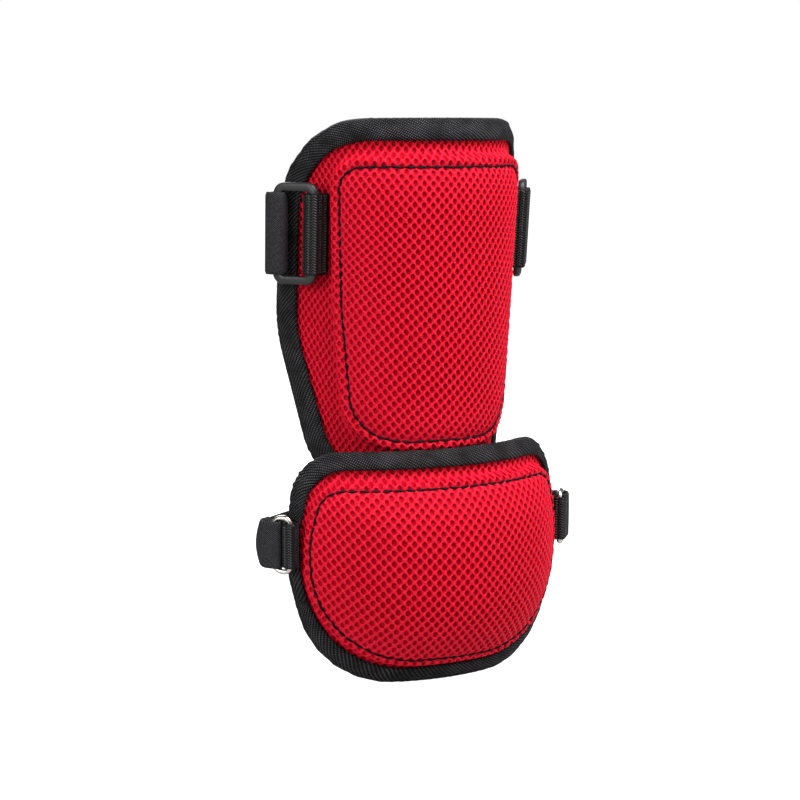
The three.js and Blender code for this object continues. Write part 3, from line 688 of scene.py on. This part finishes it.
# `level` is the height of a strap's middle. Along the margin, `seam` is where the tab is sewn, `bar` the
# middle of the bar in its fold, `far` the middle of the side that holds the elastic, and `lift` the height
# of the loop or ring above the lining. `draw` is how far a bowed ring draws in the edges of its elastic, and
# `slack` how loosely the elastic is folded, in its middle and at its edges. The tab is `tab` wide and lies
# on the cover at the height `seat`. The strap turns off the margin at `turn_from` with the radius `turn`,
# falls by `fall` on its way and passes the arm's back at `back`. Its folded ends are `free`, left and right.
UPPER = {"pad": ARM, "level": 90, "width": 35.4, "seam": 46.4, "bar": 50.8, "far": 68, "lift": 12.4,
         "bar_size": (4.8, 3.2), "draw": 0, "slack": (0, 0), "tab": 34.8, "seat": 6.3,
         "turn_from": 71.2, "turn_lift": 9.5, "turn": 6, "fall": 0.08, "back": 38, "free": (24, 62)}
LOWER = {"pad": ELBOW, "level": -41, "width": 20.4, "seam": 62.8, "bar": 65.8, "far": 73.6, "lift": 11.1,
         "bar_size": (2.4, 2.4), "draw": 1.9, "slack": (1.8, 0.1), "tab": 19.6, "seat": 7.5,
         "turn_from": 76, "turn_lift": 8.6, "turn": 4, "fall": 0.14, "back": 31, "free": (20, 48)}

# Herringbone nylon webbing: tight shiny black yarns, with painted shade in the joints and painted highlight
# grey on the crowns
herringbone = new_material("herringbone_black_nylon")
FILAMENT = 0.5 * MM  # fine streaks in the yarns, drawn coarser than the real 0.1 to show
crown = add_node(herringbone, "ShaderNodeAttribute", {}, attribute_name="height")
place = add_node(herringbone, "ShaderNodeTexCoord", {})
filament = add_node(herringbone, "ShaderNodeTexNoise",
                    {"Vector": place.outputs["Object"], "Scale": 1 / FILAMENT, "Detail": 3})
# Painted highlight and shade: grey where the weave stands highest, black down in the joints
tone = add_node(herringbone, "ShaderNodeValToRGB", {"Fac": crown.outputs["Fac"]})
tone.color_ramp.elements[0].position = 0.72
tone.color_ramp.elements[0].color = linear("#020203")
tone.color_ramp.elements[1].color = linear("#6a696c")
relief = add_node(herringbone, "ShaderNodeBump",
                  {"Height": filament.outputs["Fac"], "Strength": 0.4, "Distance": 0.15 * MM})
shade = add_node(herringbone, "ShaderNodeBsdfPrincipled",
                 {"Base Color": tone.outputs["Color"], "Roughness": 0.4, "Specular IOR Level": 0.2,
                  "Normal": relief.outputs["Normal"]})
add_node(herringbone, "ShaderNodeOutputMaterial", {"Surface": shade.outputs["BSDF"]})


def margin_point(strap, u, lift):
    """Plan view of a point on the right margin, at the strap's level."""
    level = np.full(np.shape(u), float(strap["level"]))
    return on_pad(strap["pad"], np.asarray(u, float), level, np.asarray(lift, float))[..., :2]


def fold_radius(strap, thickness):
    """Radius of a band's middle where it is folded tight over a bar."""
    return strap["bar_size"][1] / 2 + 2 * GAP + thickness / 2


def fold_round(strap, u, thickness, side, slack=0, steps=20):
    """Bend of a band folded over a bar, from its outer layer to its inner layer, tight or with some slack."""
    width, thick = strap["bar_size"]
    radius = fold_radius(strap, thickness)
    angle = math.pi * np.arange(steps + 1) / steps
    along = u + side * ((width - thick) / 2 + (radius + slack) * np.sin(angle))
    return margin_point(strap, along, strap["lift"] + radius * np.cos(angle))


def follow_taper(strap, points):
    """The arm pad is a cone, so what lies on its margin leans with it."""
    pad = strap["pad"]
    sin, cos = math.sin(pad["flare"]), math.cos(pad["flare"])
    sideways = (sin - pad["flare"] * cos) / margin_point(strap, strap["far"], strap["lift"])[0]
    growth = pad["taper"] * (points[..., 2] - strap["level"])
    moved = points.copy()
    moved[..., 0] *= 1 + growth * sideways
    moved[..., 1] -= growth * (cos + pad["flare"] * sin)
    return moved


def rounded_path(points, spacing, passes=6):
    """Evenly spaced path whose corners are eased, as cloth takes them."""
    path = evenly(np.asarray(points), spacing)[0]
    for _ in range(passes):
        path[1:-1] = path[1:-1] / 2 + (path[:-2] + path[2:]) / 4
    return path


def plan_normal(path):
    """Directions square to a path in plan, on its right-hand side."""
    ahead = np.gradient(path, axis=0)
    normal = np.stack([ahead[:, 1], -ahead[:, 0]], -1)
    return normal / np.linalg.norm(normal, axis=1, keepdims=True)


def mirror(points):
    """The same points on the guard's other side."""
    return points * [-1, 1, 1]


def webbing_tab(strap):
    """Points of a right-hand tab with its woven relief, and the height of the relief at each, by which
    highlight and shade are painted.
    """
    seat = strap["seat"] + GAP + WEBBING / 2
    width = strap["bar_size"][0]
    beside = strap["bar"] - width / 2 - GAP - WEBBING / 2
    radius = fold_radius(strap, WEBBING)
    bottom = margin_point(strap, [strap["seam"], strap["seam"] + SEWN], [seat, seat])
    under = margin_point(strap, [strap["bar"]], [strap["lift"] - radius])
    over = margin_point(strap, [beside], [strap["lift"] + radius])
    upper = seat + WEBBING + GAP
    top = margin_point(strap, [strap["seam"] + SEWN, strap["seam"]], [upper, upper])
    line = np.concatenate([bottom, under, fold_round(strap, strap["bar"], WEBBING, 1)[::-1], over, top])
    path = rounded_path(line, WOVEN_STEP[0])
    run = WOVEN_STEP[0] * np.arange(len(path))
    normal = plan_normal(path)
    half = strap["tab"] / 2
    height = np.arange(-half, half + 0.01, WOVEN_STEP[1])
    selvedge = np.clip((half - np.abs(height)) / SELVEDGE, 0, 1) ** 0.5

    # The strands of a column slant from its spine to both sides, and sink at the spine and the joints
    in_column = (np.abs((run / COLUMN) % 1 - 0.5) * 2)[:, None]
    spine = 0.35 + 0.65 * np.minimum(1, 6 * in_column + 0.25)
    joint = 1 - 0.9 * in_column ** 6
    strand = np.sin(math.pi * (height / CHEVRON + in_column)) ** 2 * spine * joint * selvedge
    thick = WEBBING / 2 * (0.35 + 0.65 * selvedge) + WOVEN_RISE * (strand - 0.5)
    level = np.broadcast_to(strap["level"] + height, strand.shape)[..., None]
    layers = []
    for side in (1, -1):
        plan = path[:, None] + normal[:, None] * (side * thick)[..., None]
        layers.append(np.concatenate([plan, level], -1)[:, ::side])
    crown = np.concatenate([strand, strand[:, ::-1]], 1)
    return follow_taper(strap, np.concatenate(layers, 1)), crown


def sewn_rows(points, rows, half):
    """Rows of small stitches across a band, on the face that its first half of columns makes."""
    made = []
    width = points.shape[1] // 2
    height = np.linspace(-half, half, width)
    for row in rows:
        face = points[row, :width]
        out = face - points[row, :width - 1:-1]
        out /= np.linalg.norm(out, axis=1, keepdims=True)

        def on_band(u, w, rise):
            place = np.stack([np.interp(u, height, column) for column in face.T], -1)
            lean = np.stack([np.interp(u, height, column) for column in out.T], -1)
            return place + lean * (rise + SEWING_SEAT)[:, None]

        line = np.array([[SEWING_INSET - half, 0], [half - SEWING_INSET, 0]])
        made += stitches(line, on_band, SEWING_PERIOD, SEWING_LENGTH, SEWING_THREAD, SEWING_PROUD,
                         closed=False)
    return made


def band_ends(rows, columns):
    """Strips of faces that close the ends of a band whose columns run up one side and down the other."""
    step = np.arange(columns // 2 - 1)
    near = np.stack([step, step + 1, columns - 2 - step, columns - 1 - step], -1)
    return np.concatenate([near, (rows - 1) * columns + near[:, ::-1]])


def add_tab(name, points, crown, node):
    """Closed strip of webbing with its relief, and highlight and shade painted by the height of the weave."""
    rows, columns = points.shape[:2]
    sides = grid_faces(rows, columns, wrap_columns=True)[0][:, ::-1]
    faces = np.concatenate([sides, band_ends(rows, columns)])
    add_painted_shade_height(add_piece(name, points, faces, herringbone, "webbing", [node]), crown)


for name, strap in (("arm", UPPER), ("elbow", LOWER)):
    tab, tab_painted_highlight = webbing_tab(strap)
    add_tab(f"{name}_webbing_right", tab, tab_painted_highlight, f"{name}_tab_right")
    add_tab(f"{name}_webbing_left", mirror(tab)[:, ::-1], tab_painted_highlight[:, ::-1], f"{name}_tab_left")


# Plastic loops
# Moulded black frames, each with one bar in a webbing tab and the other in the fold of the upper elastic.
# Edges and corners are rounded off by the mould.
END_BAR = 3.8  # width of the bars above and below the slot
LOOP_CORNER = {"outer": 5.1, "inner": 1.2}
LOOP_SQUARE = 0.55  # 1 gives the bars an oval section, less squares it off
LOOP_SIDES = 24

# Moulded acetal: deep grey-black with a satin skin, smooth enough to give soft streaks of light
moulded_acetal = new_material("moulded_black_acetal")
place = add_node(moulded_acetal, "ShaderNodeTexCoord", {})
GRAIN = 0.6 * MM  # of the mould's etched face
grain = add_node(moulded_acetal, "ShaderNodeTexNoise",
                 {"Vector": place.outputs["Object"], "Scale": 1 / GRAIN, "Detail": 2})
scuff = add_node(moulded_acetal, "ShaderNodeTexNoise",
                 {"Vector": place.outputs["Object"], "Scale": 0.08 / GRAIN, "Detail": 4})
satin = add_node(moulded_acetal, "ShaderNodeMapRange",
                 {"Value": scuff.outputs["Fac"], "From Min": 0.3, "From Max": 0.7,
                  "To Min": 0.34, "To Max": 0.5})
relief = add_node(moulded_acetal, "ShaderNodeBump",
                  {"Height": grain.outputs["Fac"], "Strength": 0.12, "Distance": 0.1 * MM})
shade = add_node(moulded_acetal, "ShaderNodeBsdfPrincipled",
                 {"Base Color": linear("#1b1b1d"), "Roughness": satin.outputs["Result"], "IOR": 1.48,
                  "Normal": relief.outputs["Normal"]})
add_node(moulded_acetal, "ShaderNodeOutputMaterial", {"Surface": shade.outputs["BSDF"]})


def margin_seat(strap):
    """Turns a flat piece on to the margin: x from the bar in the tab to the far side, y up, z outwards."""
    ends = margin_point(strap, [strap["bar"], strap["far"]], [strap["lift"], strap["lift"]])
    reach = np.linalg.norm(ends[1] - ends[0])
    along = (ends[1] - ends[0]) / reach

    def seated(points):
        plan = ends[0] + points[..., :1] * along + points[..., 2:] * np.array([along[1], -along[0]])
        return np.concatenate([plan, points[..., 1:2] + strap["level"]], -1)

    return seated, reach


def rounded_rectangle(x0, x1, half_height, radius, steps=10):
    """Corner arcs of an upright rectangle, and points along the runs between them."""
    line = []
    for cx, cy, start in ((x1 - radius, half_height - radius, 0), (x0 + radius, half_height - radius, 90),
                          (x0 + radius, radius - half_height, 180), (x1 - radius, radius - half_height, 270)):
        angle = np.radians(start + np.linspace(0, 90, steps))
        line.append(np.stack([cx + radius * np.cos(angle), cy + radius * np.sin(angle)], -1))
    filled = []
    for k, arc in enumerate(line):
        ahead = line[(k + 1) % 4][0]
        share = np.linspace(0, 1, steps)[1:-1, None]
        filled += [arc, arc[-1] + (ahead - arc[-1]) * share]
    return np.concatenate(filled)


seated, reach = margin_seat(UPPER)
bar_width, bar_thick = UPPER["bar_size"]
slot_half = UPPER["width"] / 2 + GAP
outer = rounded_rectangle(-bar_width / 2, reach + bar_width / 2, slot_half + END_BAR, LOOP_CORNER["outer"])
inner = rounded_rectangle(bar_width / 2, reach - bar_width / 2, slot_half, LOOP_CORNER["inner"])
angle = 2 * math.pi * np.arange(LOOP_SIDES) / LOOP_SIDES
across = np.sign(np.cos(angle)) * np.abs(np.cos(angle)) ** LOOP_SQUARE
thick = np.sign(np.sin(angle)) * np.abs(np.sin(angle)) ** LOOP_SQUARE * bar_thick / 2
plane = ((outer + inner) / 2)[:, None] + ((outer - inner) / 2)[:, None] * across[:, None]
loop = np.concatenate([plane, np.broadcast_to(thick, plane.shape[:2])[..., None]], -1)
loop = follow_taper(UPPER, seated(loop))
faces = grid_faces(*loop.shape[:2], wrap_rows=True, wrap_columns=True)[0]
add_piece("arm_frame_right", loop, faces[:, ::-1], moulded_acetal, "loop_plastic", ["arm_loop_right"])
add_piece("arm_frame_left", mirror(loop), faces, moulded_acetal, "loop_plastic", ["arm_loop_left"])


# D-rings
# Steel wire bent to a D, welded and nickel plated: a straight bar in the webbing tab and a bowed side that
# carries the lower elastic.
WIRE = 2.4  # thickness
BOW = 2.0  # pull on the bowed side, which stands out by half of it
BAR_CORNER = 3.0
BOW_CORNER = 4.5
RING_STEP = 0.6
WIRE_SIDES = 20

# Nickel-plated steel: bright, slightly warm, mirror-like with a faint haze from handling
nickel_plate = new_material("bright_nickel_plate")
HAZE = 3 * MM  # width of a smear
place = add_node(nickel_plate, "ShaderNodeTexCoord", {})
haze = add_node(nickel_plate, "ShaderNodeTexNoise",
                {"Vector": place.outputs["Object"], "Scale": 1 / HAZE, "Detail": 4})
polish = add_node(nickel_plate, "ShaderNodeMapRange",
                  {"Value": haze.outputs["Fac"], "From Min": 0.3, "From Max": 0.7,
                   "To Min": 0.14, "To Max": 0.28})
shade = add_node(nickel_plate, "ShaderNodeBsdfPrincipled",
                 {"Base Color": linear("#ccc8c1"), "Metallic": 1, "Roughness": polish.outputs["Result"]})
add_node(nickel_plate, "ShaderNodeOutputMaterial", {"Surface": shade.outputs["BSDF"]})


def bend_through(start, pull, end, steps=12):
    """Curve from start to end that is drawn towards a third point."""
    t = np.linspace(0, 1, steps)[:, None]
    return (1 - t) ** 2 * np.array(start) + 2 * t * (1 - t) * np.array(pull) + t * t * np.array(end)


seated, reach = margin_seat(LOWER)
half = LOWER["width"] / 2 + WIRE / 2 + GAP
shoulder = reach - BOW / 2
corner = np.radians(np.linspace(180, 90, 12))
bar_end = np.stack([BAR_CORNER + BAR_CORNER * np.cos(corner),
                    half - BAR_CORNER + BAR_CORNER * np.sin(corner)], -1)
upper_bend = bend_through((BAR_CORNER, half), (shoulder, half), (shoulder, half - BOW_CORNER))
bow = bend_through((shoulder, half - BOW_CORNER), (shoulder + BOW, 0), (shoulder, BOW_CORNER - half))
upper = np.concatenate([bar_end, upper_bend])
ring_line = np.concatenate([upper, bow, (upper * [1, -1])[::-1]])
ring_path = evenly(ring_line, RING_STEP, closed=True)[0]
ahead = np.roll(ring_path, -1, 0) - np.roll(ring_path, 1, 0)
ahead /= np.linalg.norm(ahead, axis=1, keepdims=True)
angle = 2 * math.pi * np.arange(WIRE_SIDES) / WIRE_SIDES
sideways = np.stack([-ahead[:, 1], ahead[:, 0]], -1)
plane = ring_path[:, None] + sideways[:, None] * np.cos(angle)[:, None] * WIRE / 2
ring = np.concatenate([plane, np.broadcast_to(np.sin(angle) * WIRE / 2, plane.shape[:2])[..., None]], -1)
ring = seated(ring)
faces = grid_faces(*ring.shape[:2], wrap_rows=True, wrap_columns=True)[0]
add_piece("elbow_d_ring_right", ring, faces, nickel_plate, "nickel_steel", ["elbow_ring_right"])
add_piece("elbow_d_ring_left", mirror(ring), faces[:, ::-1], nickel_plate, "nickel_steel",
          ["elbow_ring_left"])


# Elastic straps
# Woven black elastic, turned round both loops or both rings, with each end folded back on the outside and
# sewn down. Between them the strap runs on behind the pad's edges and round the back of the arm.
ELASTIC = 1.3  # thickness
PLY_SPACING = ELASTIC + GAP
STRAP_INWARD = math.radians(44)  # how far the strap has turned in when it leaves the pad's edge
BACK_PULL = (24, 36)  # pulls of the curve behind the arm, at the pad's edge and in the middle
END_SEWING = [4, 7]  # rows of stitches, in steps of the strap's path from its folded end
CLOSE_UP = (3.6, 8)  # stretch over which the folded end comes down on the strap
STRAP_STEP = 0.8
STRAP_COLUMNS = 25
STRAP_RIM = 0.7  # width over which the elastic thins towards its edges

# Woven elastic: dull black polyester over rubber, with a fine slanting weave
woven_elastic = new_material("woven_black_elastic")
PICK = 0.65  # millimetres from pick to pick
LINT = 1.111  # millimetres across the paler specks
flat_strap = add_node(woven_elastic, "ShaderNodeUVMap", {}, uv_map="cloth")
slant = add_node(woven_elastic, "ShaderNodeMapping",
                 {"Vector": flat_strap.outputs["UV"], "Rotation": (0, 0, math.radians(-58))})
weave = add_node(woven_elastic, "ShaderNodeTexWave",
                 {"Vector": slant.outputs["Vector"], "Scale": WAVE_PERIOD / PICK, "Distortion": 1.0,
                  "Detail": 2})
lint = add_node(woven_elastic, "ShaderNodeTexNoise",
                {"Vector": flat_strap.outputs["UV"], "Scale": 1 / LINT, "Detail": 3})
toned = add_node(woven_elastic, "ShaderNodeMath", {0: weave.outputs["Fac"], 1: lint.outputs["Fac"]},
                 operation="MULTIPLY")
tone = add_node(woven_elastic, "ShaderNodeValToRGB", {"Fac": toned.outputs[0]})
tone.color_ramp.elements[0].position = 0.05
tone.color_ramp.elements[0].color = linear("#0b0b0c")
tone.color_ramp.elements[1].position = 0.55
tone.color_ramp.elements[1].color = linear("#3f3e41")
relief = add_node(woven_elastic, "ShaderNodeBump",
                  {"Height": weave.outputs["Fac"], "Strength": 0.3, "Distance": 0.15 * MM})
shade = add_node(woven_elastic, "ShaderNodeBsdfPrincipled",
                 {"Base Color": tone.outputs["Color"], "Roughness": 0.7, "Specular IOR Level": 0.1,
                  "Normal": relief.outputs["Normal"]})
add_node(woven_elastic, "ShaderNodeOutputMaterial", {"Surface": shade.outputs["BSDF"]})


def half_strap(strap, free_end, draw, slack):
    """Right half of a strap in plan, from its folded end to the middle of the back."""
    radius = fold_radius(strap, ELASTIC)
    width, thick = strap["bar_size"]
    fold = fold_round(strap, strap["far"] - draw, ELASTIC, -1, slack)
    fold_u = strap["far"] - draw - (width - thick) / 2
    turn_u = [strap["turn_from"], strap["turn_from"] + 1]
    turn_start, further = margin_point(strap, turn_u, [strap["turn_lift"]] * 2)
    along = unit(further - turn_start)
    centre = turn_start + np.array([-along[1], along[0]]) * strap["turn"]
    sweep = math.pi / 2 + STRAP_INWARD - math.atan2(along[1], along[0])
    turn = np.linspace(0, sweep, 19)
    spoke = turn_start - centre
    turned = centre + np.stack([spoke[0] * np.cos(turn) - spoke[1] * np.sin(turn),
                                spoke[0] * np.sin(turn) + spoke[1] * np.cos(turn)], -1)
    heading = np.array([along[0] * math.cos(sweep) - along[1] * math.sin(sweep),
                        along[0] * math.sin(sweep) + along[1] * math.cos(sweep)])
    t = np.linspace(0, 1, 60)[1:, None]
    pull = turned[-1] + heading * BACK_PULL[0]
    last_pull, end = np.array([(BACK_PULL[1], strap["back"]), (0, strap["back"])])
    back = ((1 - t) ** 3 * turned[-1] + 3 * t * (1 - t) ** 2 * pull
            + 3 * t * t * (1 - t) * last_pull + t ** 3 * end)
    share = np.arange(12) / 12
    margin = margin_point(strap, fold_u + (strap["turn_from"] - fold_u) * share,
                          strap["lift"] - radius + (strap["turn_lift"] - strap["lift"] + radius) * share)
    main = evenly(np.concatenate([margin, turned, back]), STRAP_STEP)[0]
    run = STRAP_STEP * np.arange(len(main))
    over = run <= free_end
    spacing = 2 * radius + (PLY_SPACING - 2 * radius) * smooth_step(*CLOSE_UP, run)
    folded = (main + plan_normal(main) * spacing[:, None])[over][::-1]
    return np.concatenate([folded, fold[1:-1], main])


def elastic_strap(name, strap, node):
    """Whole strap on edge, with its edges drawn in where a ring is bowed, and the sewing of its ends."""
    paths = []
    for draw, slack in zip((0, strap["draw"]), strap["slack"]):
        left = half_strap(strap, strap["free"][0], draw, slack) * [-1, 1]
        right = half_strap(strap, strap["free"][1], draw, slack)
        line = np.concatenate([left, right[-2::-1]])
        spacing = run_along(line)[-1] / (len(paths[0]) - 1) if paths else STRAP_STEP
        paths.append(rounded_path(line, spacing, passes=3))
    half = strap["width"] / 2
    share = np.linspace(-1, 1, STRAP_COLUMNS)
    share = np.concatenate([share, share[::-1]])
    side = np.repeat([1, -1], STRAP_COLUMNS)
    rim = np.clip((1 - np.abs(share)) * half / STRAP_RIM, 0, 1) ** 0.5
    offset = side * ELASTIC / 2 * (0.3 + 0.7 * rim)
    middle = paths[0][:, None] + (paths[1] - paths[0])[:, None] * (share ** 2)[:, None]
    plan = middle + plan_normal(paths[0])[:, None] * offset[:, None]
    height = np.broadcast_to(strap["level"] + share * half, plan.shape[:2])
    points = follow_taper(strap, np.concatenate([plan, height[..., None]], -1))
    turn_y = margin_point(strap, strap["turn_from"], strap["turn_lift"])[1]
    points[..., 2] -= strap["fall"] * np.maximum(0, points[..., 1] - turn_y)
    rows, columns = points.shape[:2]
    sides, corner_rows, corner_columns = (
        part[:, ::-1] for part in grid_faces(rows, columns, wrap_columns=True))
    ends = band_ends(rows, columns)
    across = np.append(share, share[0]) * half
    flat = np.concatenate([np.stack([STRAP_STEP * corner_rows, across[corner_columns]], -1).reshape(-1, 2),
                           np.zeros((ends.size, 2))])
    add_piece(name, points, np.concatenate([sides, ends]), woven_elastic, "elastic", [node], flat)
    sewing = sewn_rows(points, END_SEWING + [-1 - row for row in END_SEWING], half)
    add_piece(name + "_sewing", *joined(sewing), bonded_thread, "elastic")


elastic_strap("arm_elastic", UPPER, "arm_strap")
elastic_strap("elbow_elastic", LOWER, "elbow_strap")


# Studio
# Pale sweep under and behind the guard, soft light from above and both sides, and the camera of the view:
# from the guard's front left, a little above it.
sweep_white = new_material("painted_white_sweep")
seen = add_node(sweep_white, "ShaderNodeLightPath", {})
glow = add_node(sweep_white, "ShaderNodeMapRange",
                {"Value": seen.outputs["Is Camera Ray"], "To Min": 0.0, "To Max": 1.0})
shade = add_node(sweep_white, "ShaderNodeBsdfPrincipled",
                 {"Base Color": linear("#b4b4b4"), "Roughness": 0.9, "Emission Color": linear("#ffffff"),
                  "Emission Strength": glow.outputs["Result"]})
add_node(sweep_white, "ShaderNodeOutputMaterial", {"Surface": shade.outputs["BSDF"]})
floor_mesh = bpy.data.meshes.new("sweep")
FLOOR_HALF = 6.0
floor_z = cad_box[0][2] - MM
floor_corners = [(x * FLOOR_HALF, y * FLOOR_HALF, floor_z) for x, y in ((-1, -1), (1, -1), (1, 1), (-1, 1))]
floor_mesh.from_pydata(floor_corners, [], [(0, 1, 2, 3)])
floor_mesh.materials.append(sweep_white)
floor = bpy.data.objects.new("sweep", floor_mesh)
bpy.context.collection.objects.link(floor)

world = bpy.data.worlds.new("white_studio")
bpy.context.scene.world = world
world.use_nodes = True
world.node_tree.nodes["Background"].inputs["Color"].default_value = (1, 1, 1, 1)
seen = add_node(world, "ShaderNodeLightPath", {})
strength = add_node(world, "ShaderNodeMapRange",
                    {"Value": seen.outputs["Is Camera Ray"], "To Min": 0.2, "To Max": 1.0})
world.node_tree.links.new(strength.outputs["Result"], world.node_tree.nodes["Background"].inputs["Strength"])


def add_light(name, place, size, watts):
    """Square soft box aimed at the guard's middle."""
    light = bpy.data.lights.new(name, "AREA")
    light.size = size
    light.energy = watts
    lamp = bpy.data.objects.new(name, light)
    lamp.location = place
    lamp.rotation_euler = (-Vector(place)).to_track_quat("-Z", "Y").to_euler()
    bpy.context.collection.objects.link(lamp)


add_light("top_box", (0.1, -0.4, 0.68), 0.5, 10.8)
add_light("left_box", (-1.05, -0.35, 0.35), 0.6, 8)
add_light("right_box", (1.0, -0.65, 0.4), 0.6, 6.5)
add_light("back_box", (0.2, 1.2, 0.7), 0.8, 9)

AZIMUTH = math.radians(-27)
ELEVATION = math.radians(8)
DISTANCE = 0.9
SENSOR = 36
IMAGE = 800
PIXELS_PER_MM = 2.2
AIM_RIGHT = 0.0058
AIM_UP = 0.012
RIGHT = Vector((math.cos(AZIMUTH), math.sin(AZIMUTH), 0))
BACK = Vector((math.sin(AZIMUTH) * math.cos(ELEVATION), -math.cos(AZIMUTH) * math.cos(ELEVATION),
               math.sin(ELEVATION)))
target = RIGHT * AIM_RIGHT + Vector((0, 0, AIM_UP))
camera = bpy.data.cameras.new("view")
camera.sensor_width = SENSOR
camera.lens = SENSOR * PIXELS_PER_MM * DISTANCE / MM / IMAGE
viewer = bpy.data.objects.new("view", camera)
viewer.location = target + BACK * DISTANCE
viewer.rotation_euler = (-BACK).to_track_quat("-Z", "Y").to_euler()
bpy.context.collection.objects.link(viewer)
bpy.context.scene.camera = viewer
bpy.context.scene.view_settings.view_transform = "Standard"
